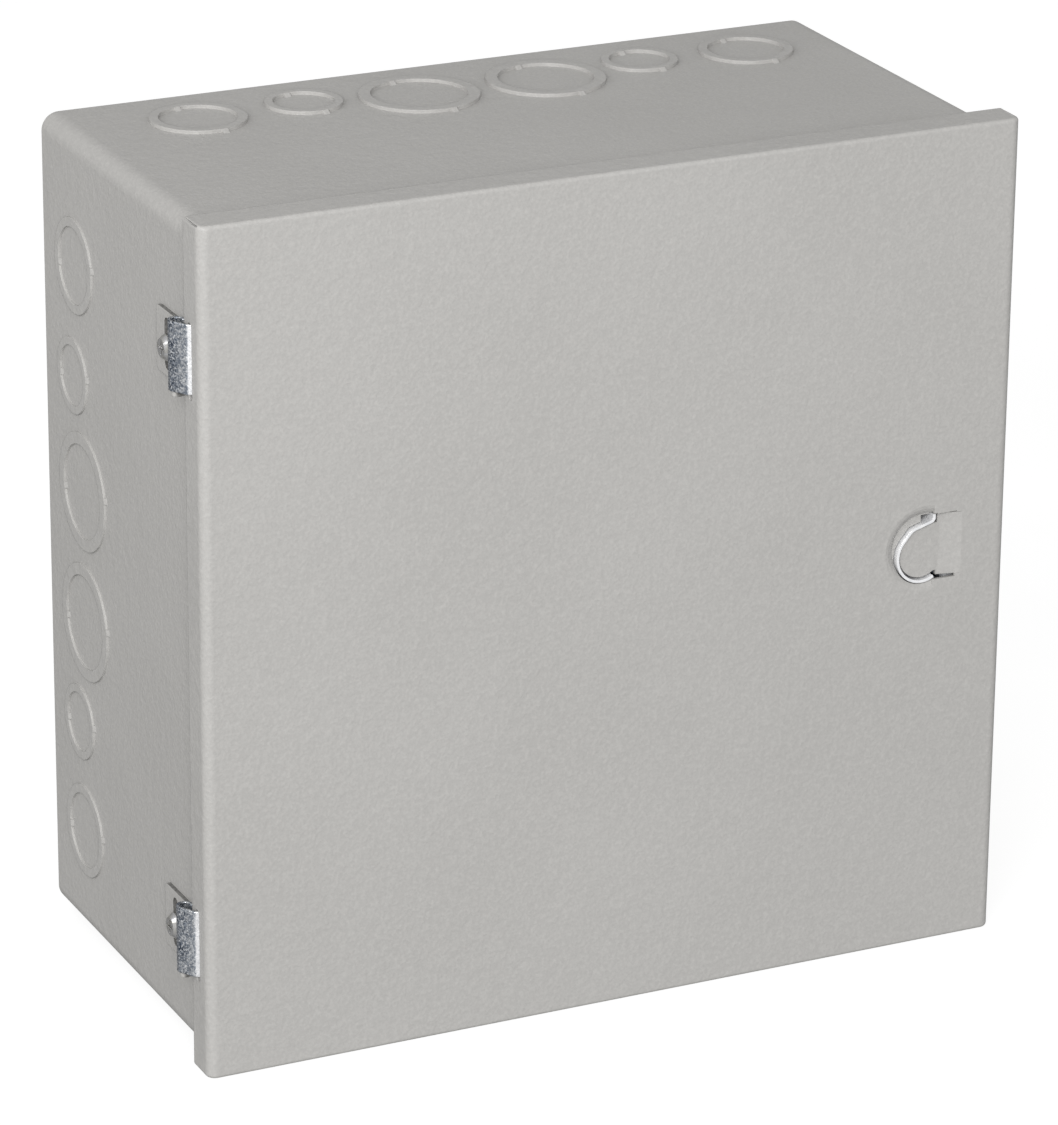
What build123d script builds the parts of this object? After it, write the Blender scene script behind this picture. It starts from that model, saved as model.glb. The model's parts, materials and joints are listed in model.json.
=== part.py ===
from build123d import *
import math
import os

os.makedirs("parts", exist_ok=True)

# Small surface-mounted residential load center. Millimetres, Z up, X to the right,
# Y towards the wall. The origin is the centre of the wall face, so the front is at -Y.

# --- enclosure ---------------------------------------------------------------
body_w = 304.8
body_h = 304.8
body_d = 153.9
sheet = 1.5
corner_r = 6.5
rear_r = 1.2
lip_w = 11.5
lip_corner_r = 2.0
wall_hole_pitch = 254.0
wall_hole_r = 3.6
inner_x = body_w / 2 - sheet
back_in = -sheet

# --- knockouts: (inner radius, outer radius), trade sizes 1/2, 3/4, 1 and 1-1/4 ---
ko_small = (11.1, 14.1)
ko_medium = (14.1, 17.5)
ko_large = (17.5, 21.9)
ko_rise_ends = 1.3
ko_rise_sides = 0.75
ko_to_wall = 13.3
ko_row_shift = 3.5
ko_row = (
    (-108.3, ko_medium),
    (-66.5, ko_small),
    (-25.0, ko_large),
    (25.0, ko_large),
    (66.5, ko_small),
    (108.3, ko_medium),
)
tie_w = 2.4
tie_run = 1.6
tie_turn = 10.0

# --- door --------------------------------------------------------------------
door_gap = 2.25
rim_gap = 1.0
door_w = body_w + 2 * (door_gap + sheet)
door_h = body_h + 2 * (door_gap + sheet)
door_in = -(body_d + rim_gap)
door_out = door_in - sheet
flange_d = 13.8
flange_out = -door_w / 2
door_side_bend_r = 3.6
door_end_bend_r = 1.4
door_inner_r = 0.8
seam_w = 0.6
seam_l = 9.0
seam_start = 2.8

# --- hinges ------------------------------------------------------------------
hinge_z = 107.4
strip_h = 24.8
strip_t = 0.9
strip_raise = 2.9
curl_turn = 210.0
post_r = 1.95
post_bore_r = 1.0
post_play = 0.08
post_to_leaf = 1.1
leaf_t = 1.5
leaf_h = 23.5
leaf_corner_r = 2.0
leaf_start = door_out + 23.6
leaf_end = door_out + 44.6
leaf_out = -body_w / 2 - leaf_t
leaf_slot_h = 18.5
leaf_slot_w = 4.4
curl_r = post_r + post_play + strip_t / 2
axis_x = leaf_out - post_r - post_play - strip_t - post_to_leaf
axis_y = door_out + 16.4
ear_w = 3.2
ear_gap = 0.3
slot_depth = 9.0
slot_w = 3.2
slot_h = 27.4
slot_drop = 0.7
hinge_screw_y = door_out + 35.0
hinge_screw_drop = 1.2
hinge_screw_r = 2.0
hinge_head_r = 4.7
hinge_head_rim = 0.6
hinge_head_dome = 1.7
hinge_nut_r = 4.4
hinge_nut_t = 3.2
hinge_hole_play = 0.2
weld_start = door_out + 3.2
weld_end = door_out + slot_depth - 1.1
strip_bend_x = flange_out - 0.9
strip_bend_y = door_out + slot_depth + 0.6
curl_lead = 1.2
head_taper = 38.0

# --- latch -------------------------------------------------------------------
dish_x = 123.3
dish_z = -0.7
dish_r = 16.3
dish_wall = ((0.3, 76.0), (0.7, 61.0), (1.5, 42.0))
dish_depth = sum(depth for depth, slope in dish_wall)
dish_edge = 126.6
finger_x = 122.4
finger_z = -3.8
finger_r = 9.8
finger_t = 1.05
finger_low_end = 300.0
finger_leave = 140.0
finger_run = 5.2
finger_bend_r = 5.0
finger_set_back = 0.7
finger_gap = 0.4
tab_x = 127.0
tab_top = 11.6
tab_knee_z = 9.1
tab_knee_r = 1.5
tongue_play = 0.75
tongue_set_back = 1.8
tongue_shoulder = 128.8
tongue_slit_end = 135.8
tongue_root = 138.0
tongue_ramp = 129.6
tongue_top = 11.3
tongue_bottom = -12.3
slit_top_w = 0.5
slit_bottom_w = 1.1
neck_low = -11.8
neck_right = tongue_shoulder + finger_t / 2 + tongue_play
pivot_x = 136.5
pivot_y = -149.0
pin_r = 1.5
pin_play = 0.06
pin_head_r = 2.4
pin_head_t = 1.0
barrel_r = 2.8
barrel_low = -15.7
barrel_high = 4.0
nose_w = 4.4
nose_gap = 0.4
nose_x = body_w / 2 - lip_w - nose_gap
arm_low = -11.7
arm_high = 2.0
lever_base_y = pivot_y + 2.0
ear_top = 14.0
ear_bottom = -16.0
ear_t = 1.2
bracket_w = 10.3
bracket_strap_y = pivot_y + 4.8
bracket_foot = 12.0
rivet_r = 2.2
rivet_from_ear = 7.5
spring_r = 2.2
spring_wire_r = 0.4
spring_pitch = 1.35
spring_coils = 5

# --- interior pan ------------------------------------------------------------
pan_w = 190.0
pan_top = 104.0
pan_bottom = -100.0
pan_face = -36.0
foot_w = 14.0
stud_x = 102.5
stud_z = 80.0
stud_r = 2.35
stud_l = 11.0
stud_hole_play = 0.3
thread_play = 0.02
nut_r = 4.6
nut_t = 4.0

# --- bus ---------------------------------------------------------------------
bus_in = -50.0
bus_out = -53.0
bus_x = 24.0
bus_bar_w = 12.0
bus_rib_x = 40.0
bus_rib = 6.0
bus_base_w = 100.0
bus_base_margin = 4.0
finger_plate_x = 3.0
finger_plate_w = 34.0
finger_plate_h = 10.0
blade_w = 28.0
blade_t = 2.4
blade_l = 13.0
bus_foot_z = 9.0
bus_foot_h = 8.0
bus_row_margin = 13.0
rail_in = 72.0
rail_step = 80.0
rail_out = 90.0

# --- breakers ----------------------------------------------------------------
breaker_back = -56.0
breaker_front = -119.0
breaker_step = -104.0
breaker_pitch = 25.4
breaker_t = 25.0
breaker_in = 6.0
breaker_out = 84.0
breaker_face_end = 46.0
breaker_toe = 6.0
breaker_edge = 0.6
face_slope = 2.0
row_z = (-8.0, -8.0 - breaker_pitch, -8.0 - 2 * breaker_pitch)
jaw_l = 9.6
jaw_w = 3.6
jaw_depth = 11.6
wire_hole_r = 3.4
wire_hole_l = 12.0
wire_hole_y = breaker_back - 14.0
terminal_x = breaker_out - 13.0
terminal_hole_r = 4.2
terminal_hole_l = 8.0
terminal_screw_r = 3.9
terminal_screw_t = 2.5
terminal_slot = (6.0, 1.1)
handle_y = -104.0
handle_x = 26.0
handle_r = 14.6
handle_play = 0.4
handle_w = 10.0
handle_reach = 28.0
handle_root = 3.6
handle_tip = 2.6
handle_neck = 12.6
handle_edge_r = 0.9
handle_window = 18.0
window_margin = 1.5
window_depth = 8.0
tilt = math.radians(18.0)
main_half_w = 38.0
main_bottom = 8.0
main_top = 92.0
main_face = 20.0
main_shoulder = 1.5
main_chamfer = (10.0, 6.0)
main_z = 50.0
main_handle_w = 24.0
main_window = 20.0
pole_groove = (1.0, 1.6)
lug_x = 20.0
lug_back = -62.0
lug_front = -84.0
lug_w = 20.0
lug_l = 20.0
lug_floor = 2.0
lug_edge_r = 1.5
lug_bore_r = 6.0
lug_bore_y = -70.0
lug_screw_r = 4.5
lug_screw_z = main_top + 11.0
lug_screw_l = 7.9
lug_socket_r = 2.8
lug_socket_l = 4.0

# --- neutral and ground bars -------------------------------------------------
bar_x = 124.0
bar_w = 11.0
neutral_bar_t = 14.0
ground_bar_t = 12.0
neutral_face = -45.0
ground_face = -19.0
bar_half = 66.0
screw_pitch = 9.5
screw_count = 13
bar_screw_r = 2.45
bar_screw_slot = 0.9
bar_screw_slot_l = 4.0
bar_screw_up = 1.0
bar_screw_in = 3.0
bar_screw_hole = 5.0
bar_wire_r = 2.2
bar_wire_depth = 8.0
standoff_w = 18.0
standoff_h = 14.0
standoff_in = 8.0
standoff_edge_r = 3.0
foot_h = 10.0
foot_in = 6.0
strap_w = 10.0
strap_t = 1.6
strap_y = neutral_face + 7.0
strap_low = -bar_half - 26.0
strap_bend = -bar_half - 10.0
bond_z = -bar_half - 20.0
bond_r = 4.4
bond_t = 3.0
bond_slot = (9.0, 1.1)

# --- dead front --------------------------------------------------------------
trim_back = -115.5
trim_t = 1.2
trim_half = 139.0
trim_return = 9.0
trim_edge_r = 1.0
trim_gap = 0.6
trim_screw_x = 131.0
trim_screw_z = 95.0
trim_hole_r = 2.6
trim_screw_r = 2.12
trim_head_r = 4.4
trim_head_t = 2.2
trim_head_taper = 25.0
trim_screw_l = 10.0
trim_rail_half = 110.0
trim_rail_in = 124.0
trim_rail_out = 136.4
trim_rail_y = trim_back + trim_return + 6.0
trim_rail_foot = 20.0
recess_depth = 1.2
recess_w = 0.9


def save(builder, name):
    """Label a finished piece and write it."""
    builder.part.label = name
    export_step(builder.part, f"parts/{name}.step")


# =============================================================================
# Enclosure body: wrapped sides with rounded corners, welded back, return lips
# =============================================================================
face_top = Plane(origin=(0, 0, body_h / 2), x_dir=(1, 0, 0), z_dir=(0, 0, 1))
face_bottom = Plane(origin=(0, 0, -body_h / 2), x_dir=(1, 0, 0), z_dir=(0, 0, -1))
face_left = Plane(origin=(-body_w / 2, 0, 0), x_dir=(0, 0, -1), z_dir=(-1, 0, 0))
face_right = Plane(origin=(body_w / 2, 0, 0), x_dir=(0, 0, -1), z_dir=(1, 0, 0))

with BuildPart() as body_shell:
    with BuildSketch(Plane.XZ):
        RectangleRounded(body_w, body_h, corner_r)
    extrude(amount=body_d)
    fillet(body_shell.faces().sort_by(Axis.Y)[-1].edges(), rear_r)
    with BuildSketch(Plane.XZ.offset(sheet)):
        RectangleRounded(body_w - 2 * sheet, body_h - 2 * sheet, corner_r - sheet)
    extrude(amount=body_d - 2 * sheet, mode=Mode.SUBTRACT)
    with BuildSketch(Plane.XZ.offset(body_d)):
        RectangleRounded(body_w - 2 * lip_w, body_h - 2 * lip_w, lip_corner_r)
    extrude(amount=-sheet, mode=Mode.SUBTRACT)
    # Each knockout ring is half sheared out of the wall, so it stands proud outside.
    for face in (face_top, face_bottom, face_left, face_right):
        ko_rise = ko_rise_sides if face in (face_left, face_right) else ko_rise_ends
        wall_way = 1 if face.y_dir.Y > 0 else -1
        for level, way in ((0, Mode.ADD), (-sheet, Mode.SUBTRACT)):
            with BuildSketch(face.offset(level)):
                for along, (r_in, r_out) in ko_row:
                    centre = (along + ko_row_shift, -wall_way * (ko_to_wall + r_out))
                    with Locations(centre):
                        Circle(r_out)
                        Circle(r_in, mode=Mode.SUBTRACT)
            extrude(amount=ko_rise, mode=way)
        # Two ties per ring, left unsheared: a ramp down to the disc, one down to the wall.
        for along, (r_in, r_out) in ko_row:
            centre = face.from_local_coords((along + ko_row_shift, -wall_way * (ko_to_wall + r_out), 0))
            toward_wall = Vector(0, 1, 0).rotate(Axis((0, 0, 0), face.z_dir), tie_turn)
            for outward, radius in ((-toward_wall, r_out), (-toward_wall, -r_in)):
                edge_point = centre + outward * radius
                tie = Plane(edge_point, x_dir=outward, z_dir=outward.cross(face.z_dir))
                rise = ko_rise if tie.y_dir.dot(face.z_dir) > 0 else -ko_rise
                with BuildSketch(tie.offset(-tie_w / 2)):
                    with BuildLine():
                        Polyline(
                            (-tie_run / 2, -rise / 2),
                            (-tie_run / 2, rise),
                            (0, rise),
                            (tie_run, 0),
                            (tie_run, -rise / 2),
                            close=True,
                        )
                    make_face()
                extrude(amount=tie_w)
    # Wall fixing holes.
    with BuildSketch(Plane.XZ):
        with GridLocations(wall_hole_pitch, wall_hole_pitch, 2, 2):
            Circle(wall_hole_r)
    extrude(amount=sheet, mode=Mode.SUBTRACT)
    # Holes for the hinge screws in the left side.
    with BuildSketch(face_left):
        for side in (1, -1):
            with Locations((-(side * hinge_z - strip_raise - hinge_screw_drop), -hinge_screw_y)):
                Circle(hinge_screw_r + hinge_hole_play)
    extrude(amount=-sheet, mode=Mode.SUBTRACT)
save(body_shell, "body_shell")

# =============================================================================
# Door: shallow pan that wraps over the body, with the latch pocket pressed in it
# =============================================================================
def half_dish(level, radius):
    """Round solid that steepens as it runs back from a level, flat on its right side."""
    with BuildPart() as dish:
        ring_level = level
        for depth, slope in dish_wall:
            with BuildSketch(Plane.XZ.offset(-ring_level)):
                with Locations((dish_x, dish_z)):
                    Circle(radius)
            extrude(amount=-depth, taper=slope)
            radius -= depth * math.tan(math.radians(slope))
            ring_level += depth
        with BuildSketch(Plane.XZ.offset(-level)):
            with Locations((dish_edge + dish_r, dish_z)):
                Rectangle(2 * dish_r, 3 * dish_r)
        extrude(amount=-dish_depth, mode=Mode.SUBTRACT)
    return dish.part


def between(low, high):
    """Centre and length of a stretch."""
    return (low + high) / 2, high - low


leave_angle = math.radians(finger_leave)
rim_leave = Vector(
    finger_x + finger_r * math.cos(leave_angle),
    finger_z + finger_r * math.sin(leave_angle),
)
rim_bend = rim_leave + finger_run * Vector(math.sin(leave_angle), -math.cos(leave_angle))


def finger_outline(grow):
    """Area inside the centre line of the finger rim, grown or shrunk all round."""
    with BuildSketch() as outline:
        with Locations((finger_x, finger_z)):
            Circle(finger_r)
        with BuildLine():
            Polyline(
                (finger_x, neck_low),
                (neck_right, neck_low),
                (neck_right, tab_knee_z),
                (tab_x, tab_knee_z),
                rim_bend,
                rim_leave,
                close=True,
            )
        make_face()
        offset(amount=grow)
    return outline.sketch


with BuildPart() as door_pan:
    with BuildSketch(Plane.XZ.offset(-door_out)):
        Rectangle(door_w, door_h)
    extrude(amount=-flange_d)
    front = door_pan.faces().sort_by(Axis.Y)[0]
    fillet(front.edges().filter_by(Axis.Z), door_side_bend_r)
    end_edges = door_pan.faces().filter_by(Axis.Z).edges()
    fillet(end_edges.filter_by_position(Axis.Y, door_out, door_out + flange_d - sheet), door_end_bend_r)
    with BuildSketch(Plane.XZ.offset(-door_in)):
        RectangleRounded(door_w - 2 * sheet, door_h - 2 * sheet, door_inner_r)
    extrude(amount=-flange_d, mode=Mode.SUBTRACT)
    # Open seams where the four flanges meet at the corners.
    with BuildSketch(Plane.XZ.offset(-(door_out + seam_start))):
        for side_x in (1, -1):
            for side_z in (1, -1):
                with Locations(Location((side_x * door_w / 2, side_z * door_h / 2), 45 * side_x * side_z)):
                    Rectangle(seam_l, seam_w)
    extrude(amount=-flange_d, mode=Mode.SUBTRACT)
    # Slots in the left flange for the hinge strips.
    with BuildSketch(Plane.YZ.offset(flange_out)):
        for side in (1, -1):
            with Locations((door_out + slot_depth, side * hinge_z - slot_drop)):
                SlotOverall(slot_h, slot_w, rotation=90)
    extrude(amount=sheet, mode=Mode.SUBTRACT)
    # Half-round finger dish: a pressed cup behind the sheet, then its hollow.
    add(half_dish(door_in, dish_r + sheet / 3))
    add(half_dish(door_out, dish_r), mode=Mode.SUBTRACT)
    # Opening for the finger rim, with the slits that free the tongue.
    slit_mid_z, slit_h = between(tongue_bottom - slit_bottom_w, tongue_top + slit_top_w)
    root_mid_z, root_h = between(tongue_bottom, tongue_top)
    slit_mid_x, slit_l = between(tab_x, tongue_slit_end)
    root_mid_x, root_l = between(finger_x, tongue_root)
    window_mid_z, window_h = between(finger_z, tab_top + finger_gap)
    with BuildSketch(Plane.XZ.offset(-door_out)):
        add(finger_outline(finger_t / 2 + finger_gap))
        with Locations((tab_x, window_mid_z)):
            Rectangle(finger_t + 2 * finger_gap, window_h)
        with Locations((slit_mid_x, slit_mid_z)):
            Rectangle(slit_l, slit_h)
        with Locations((root_mid_x, root_mid_z)):
            Rectangle(root_l, root_h)
    extrude(amount=-2 * (sheet + dish_depth), mode=Mode.SUBTRACT)

with BuildPart() as tongue:
    pad_mid_x, pad_l = between(tongue_shoulder, tongue_root)
    with BuildSketch(Plane.XZ.offset(-door_out)):
        add(finger_outline(-(finger_t / 2 + tongue_play)))
        with Locations((pad_mid_x, root_mid_z)):
            Rectangle(pad_l, root_h)
    extrude(amount=-2 * (sheet + tongue_set_back))
    # Joggle: the tongue lies back from the door's face and ramps up to its root.
    tongue_tip = finger_x - finger_r
    with BuildSketch(Plane.XY.offset(finger_z - 2 * finger_r)):
        with BuildLine():
            Polyline(
                (tongue_tip, door_out + tongue_set_back),
                (tongue_ramp, door_out + tongue_set_back),
                (tongue_root, door_out),
                (tongue_root, door_in),
                (tongue_ramp, door_in + tongue_set_back),
                (tongue_tip, door_in + tongue_set_back),
                close=True,
            )
        make_face()
    extrude(amount=4 * finger_r, mode=Mode.INTERSECT)

with BuildPart() as door_panel:
    add(door_pan.part)
    add(tongue.part)
save(door_panel, "door_panel")

# =============================================================================
# Hinges: a leaf with an upright post on the body, a curled strip on the door
# =============================================================================
for place, side in (("upper", 1), ("lower", -1)):
    strip_low = side * hinge_z - strip_h / 2
    leaf_mid = side * hinge_z - strip_raise
    leaf_low = leaf_mid - leaf_h / 2
    ear_h = strip_low - ear_gap - leaf_low
    leaf_mid_y, leaf_l = between(leaf_start, leaf_end)

    with BuildPart() as hinge_leaf:
        with BuildSketch(Plane.YZ.offset(-body_w / 2)):
            with Locations((leaf_mid_y, leaf_mid)):
                RectangleRounded(leaf_l, leaf_h, leaf_corner_r)
            with Locations(((axis_y + leaf_mid_y) / 2, leaf_low + ear_h / 2)):
                Rectangle(leaf_mid_y - axis_y + ear_w, ear_h)
            with Locations((hinge_screw_y, leaf_mid)):
                SlotOverall(leaf_slot_h, leaf_slot_w, rotation=90, mode=Mode.SUBTRACT)
        extrude(amount=-leaf_t)
        # The low ear carries the hollow post that the door strip drops over.
        with BuildSketch(Plane.XY.offset(leaf_low)):
            with Locations((axis_x, axis_y)):
                Circle(post_r)
            with Locations(((axis_x + leaf_out + leaf_t / 2) / 2, axis_y)):
                Rectangle(leaf_out + leaf_t / 2 - axis_x, ear_w)
        extrude(amount=ear_h)
        with BuildSketch(Plane.XY.offset(leaf_low)):
            with Locations((axis_x, axis_y)):
                Circle(post_r)
        extrude(amount=leaf_h)
        with BuildSketch(Plane.XY.offset(leaf_low)):
            with Locations((axis_x, axis_y)):
                Circle(post_bore_r)
        extrude(amount=leaf_h, mode=Mode.SUBTRACT)
    save(hinge_leaf, f"hinge_leaf_{place}")

    weld_x = flange_out + sheet + strip_t / 2
    with BuildPart() as hinge_strip:
        with BuildSketch(Plane.XY.offset(strip_low)):
            with BuildLine():
                Polyline(
                    (weld_x, weld_start),
                    (weld_x, weld_end),
                    (strip_bend_x, strip_bend_y),
                    (axis_x - curl_r, axis_y - curl_lead),
                    (axis_x - curl_r, axis_y),
                )
                CenterArc((axis_x, axis_y), curl_r, 180, -curl_turn)
            trace(line_width=strip_t)
        extrude(amount=strip_h)
    save(hinge_strip, f"hinge_strip_{place}")

with BuildPart() as hinge_screws:
    for side in (1, -1):
        screw_z = side * hinge_z - strip_raise - hinge_screw_drop
        head = Plane(origin=(leaf_out, hinge_screw_y, screw_z), x_dir=(0, 1, 0), z_dir=(-1, 0, 0))
        with BuildSketch(head):
            Circle(hinge_head_r)
        extrude(amount=hinge_head_rim)
        with BuildSketch(head.offset(hinge_head_rim)):
            Circle(hinge_head_r)
        extrude(amount=hinge_head_dome, taper=head_taper)
        with BuildSketch(head.offset(hinge_head_rim + hinge_head_dome)):
            Rectangle(hinge_head_r, recess_w)
            Rectangle(recess_w, hinge_head_r)
        extrude(amount=-recess_depth, mode=Mode.SUBTRACT)
        with BuildSketch(head):
            Circle(hinge_screw_r)
        extrude(amount=-(leaf_t + sheet + 2 * hinge_nut_t))
save(hinge_screws, "hinge_screws")

with BuildPart() as hinge_nuts:
    for side in (1, -1):
        screw_z = side * hinge_z - strip_raise - hinge_screw_drop
        seat = Plane(origin=(-inner_x, hinge_screw_y, screw_z), x_dir=(0, 1, 0), z_dir=(1, 0, 0))
        with BuildSketch(seat):
            RegularPolygon(hinge_nut_r, 6)
            Circle(hinge_screw_r + thread_play, mode=Mode.SUBTRACT)
        extrude(amount=hinge_nut_t)
save(hinge_nuts, "hinge_nuts")

# =============================================================================
# Latch: plated finger lever on a vertical pin, held in a bracket inside the door
# =============================================================================
finger_front = door_out + finger_set_back

with BuildPart() as latch_lever:
    # Finger rim: a hook round the tongue, turned up into a tab at its top end.
    with BuildSketch(Plane.XZ.offset(-finger_front)):
        with BuildLine():
            FilletPolyline(
                (tab_x, tab_top),
                (tab_x, tab_knee_z),
                rim_bend,
                rim_leave,
                radius=(tab_knee_r, finger_bend_r),
            )
            CenterArc((finger_x, finger_z), finger_r, finger_leave, finger_low_end - finger_leave)
        trace(line_width=finger_t)
    extrude(amount=-(lever_base_y + finger_t - finger_front))
    # Base behind the tongue, and the arm that reaches the pin.
    arm_mid_z, arm_h = between(arm_low, arm_high)
    with BuildSketch(Plane.XZ.offset(-lever_base_y)):
        add(finger_outline(finger_t / 2))
        with Locations((dish_edge + dish_r, finger_z)):
            Rectangle(2 * dish_r, 3 * dish_r, mode=Mode.SUBTRACT)
        with Locations(((finger_x + pivot_x) / 2, arm_mid_z)):
            Rectangle(pivot_x - finger_x, arm_h)
    extrude(amount=-finger_t)
    # Barrel round the pin, with the nose that catches the right-hand return lip.
    with BuildSketch(Plane.XY.offset(barrel_low)):
        with Locations((pivot_x, pivot_y)):
            Circle(barrel_r)
        with Locations(((pivot_x + nose_x) / 2, pivot_y + ear_gap)):
            Rectangle(nose_x - pivot_x, nose_w)
        with Locations((pivot_x, pivot_y)):
            Circle(pin_r + pin_play, mode=Mode.SUBTRACT)
    extrude(amount=barrel_high - barrel_low)
save(latch_lever, "latch_lever")

bracket_right = nose_x - ear_t / 6
with BuildPart() as latch_bracket:
    with BuildSketch(Plane.YZ.offset(bracket_right - bracket_w)):
        with BuildLine():
            foot = door_in + ear_t / 2
            Polyline(
                (foot, ear_top + bracket_foot),
                (foot, ear_top + ear_t / 2),
                (bracket_strap_y, ear_top + ear_t / 2),
                (bracket_strap_y, ear_bottom - ear_t / 2),
                (foot, ear_bottom - ear_t / 2),
                (foot, ear_bottom - bracket_foot),
            )
        trace(line_width=ear_t)
    extrude(amount=bracket_w)
    with BuildSketch(Plane.XY.offset(ear_bottom - ear_t)):
        with Locations((pivot_x, pivot_y)):
            Circle(pin_r + thread_play / 2)
    extrude(amount=ear_top - ear_bottom + 2 * ear_t, mode=Mode.SUBTRACT)
save(latch_bracket, "latch_bracket")

pin_low = ear_bottom - ear_t - pin_head_t
with BuildPart() as latch_pin:
    with BuildSketch(Plane.XY.offset(pin_low)):
        with Locations((pivot_x, pivot_y)):
            Circle(pin_r)
    extrude(amount=ear_top + ear_t - pin_low)
    for level in (pin_low, ear_top + ear_t):
        with BuildSketch(Plane.XY.offset(level)):
            with Locations((pivot_x, pivot_y)):
                Circle(pin_head_r)
        extrude(amount=pin_head_t)
save(latch_pin, "latch_pin")

with BuildPart() as latch_spring:
    with BuildLine(Plane(origin=(pivot_x, pivot_y, barrel_high + pin_head_t))):
        coil = Helix(pitch=spring_pitch, height=spring_pitch * spring_coils, radius=spring_r)
    with BuildSketch(Plane(origin=coil @ 0, z_dir=coil % 0)):
        Circle(spring_wire_r)
    sweep()
save(latch_spring, "latch_spring")

with BuildPart() as latch_rivets:
    with BuildSketch(Plane.XZ.offset(-(door_in + ear_t))):
        for level in (ear_top + rivet_from_ear, ear_bottom - rivet_from_ear):
            with Locations((bracket_right - bracket_w / 2, level)):
                Circle(rivet_r)
    extrude(amount=-pin_head_t)
save(latch_rivets, "latch_rivets")

# =============================================================================
# Interior pan on its studs
# =============================================================================
with BuildPart() as interior_pan:
    with BuildSketch(Plane.XY.offset(pan_bottom)):
        with BuildLine():
            wall_x = pan_w / 2 + sheet / 2
            Polyline(
                (-pan_w / 2 - foot_w, back_in - sheet / 2),
                (-wall_x, back_in - sheet / 2),
                (-wall_x, pan_face + sheet / 2),
                (wall_x, pan_face + sheet / 2),
                (wall_x, back_in - sheet / 2),
                (pan_w / 2 + foot_w, back_in - sheet / 2),
            )
        trace(line_width=sheet)
    extrude(amount=pan_top - pan_bottom)
    with BuildSketch(Plane.XZ):
        with GridLocations(2 * stud_x, 2 * stud_z, 2, 2):
            Circle(stud_r + stud_hole_play)
    extrude(amount=3 * sheet, mode=Mode.SUBTRACT)
save(interior_pan, "interior_pan")

with BuildPart() as mounting_studs:
    with BuildSketch(Plane.XZ.offset(sheet)):
        with GridLocations(2 * stud_x, 2 * stud_z, 2, 2):
            Circle(stud_r)
    extrude(amount=stud_l)
save(mounting_studs, "mounting_studs")

with BuildPart() as mounting_nuts:
    with BuildSketch(Plane.XZ.offset(2 * sheet)):
        with GridLocations(2 * stud_x, 2 * stud_z, 2, 2):
            RegularPolygon(nut_r, 6)
            Circle(stud_r + thread_play, mode=Mode.SUBTRACT)
    extrude(amount=nut_t)
save(mounting_nuts, "mounting_nuts")

# =============================================================================
# Bus: moulded insulator, two bars with blades, rails for the breaker ends
# =============================================================================
bus_low = row_z[-1] - bus_row_margin
bus_high = main_bottom + bus_foot_z + bus_foot_h / 2
bus_mid_z, bus_h = between(bus_low, bus_high)
rail_high = row_z[0] + bus_row_margin

with BuildPart() as bus_insulator:
    with BuildSketch(Plane.XZ.offset(-pan_face)):
        with Locations((0, bus_mid_z)):
            RectangleRounded(bus_base_w, bus_h + 2 * bus_base_margin, bus_base_margin)
    extrude(amount=pan_face - bus_in)
    for side in (1, -1):
        with BuildSketch(Plane.XZ.offset(-bus_in)):
            with Locations((side * bus_rib_x, bus_mid_z)):
                Rectangle(bus_rib, bus_h)
        extrude(amount=-bus_rib, mode=Mode.SUBTRACT)
save(bus_insulator, "bus_insulator")

for name, side, rows in (("bus_bar_a", -1, (0, 2)), ("bus_bar_b", 1, (1,))):
    with BuildPart() as bus_bar:
        with BuildSketch(Plane.XZ.offset(-bus_in)):
            with Locations((side * bus_x, bus_mid_z)):
                Rectangle(bus_bar_w, bus_h)
            for row in rows:
                with Locations((side * finger_plate_x, row_z[row])):
                    Rectangle(finger_plate_w, finger_plate_h)
        extrude(amount=bus_in - bus_out)
        # Upright blades that the breakers plug on to, and the foot under the main breaker.
        with BuildSketch(Plane.XZ.offset(-bus_out)):
            for row in rows:
                with Locations((0, row_z[row])):
                    Rectangle(blade_w, blade_t)
        extrude(amount=blade_l)
        with BuildSketch(Plane.XZ.offset(-bus_out)):
            with Locations((side * bus_x, main_bottom + bus_foot_z)):
                Rectangle(bus_bar_w, bus_foot_h)
        extrude(amount=bus_out - breaker_back)
    save(bus_bar, name)

for name, side in (("breaker_rail_left", -1), ("breaker_rail_right", 1)):
    with BuildPart() as rail:
        with BuildSketch(Plane.XY.offset(bus_low)):
            with BuildLine():
                Polyline(
                    (side * rail_out, pan_face - sheet / 2),
                    (side * rail_step, pan_face - sheet / 2),
                    (side * rail_step, breaker_back + sheet / 2),
                    (side * rail_in, breaker_back + sheet / 2),
                )
            trace(line_width=sheet)
        extrude(amount=rail_high - bus_low)
    save(rail, name)

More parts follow.
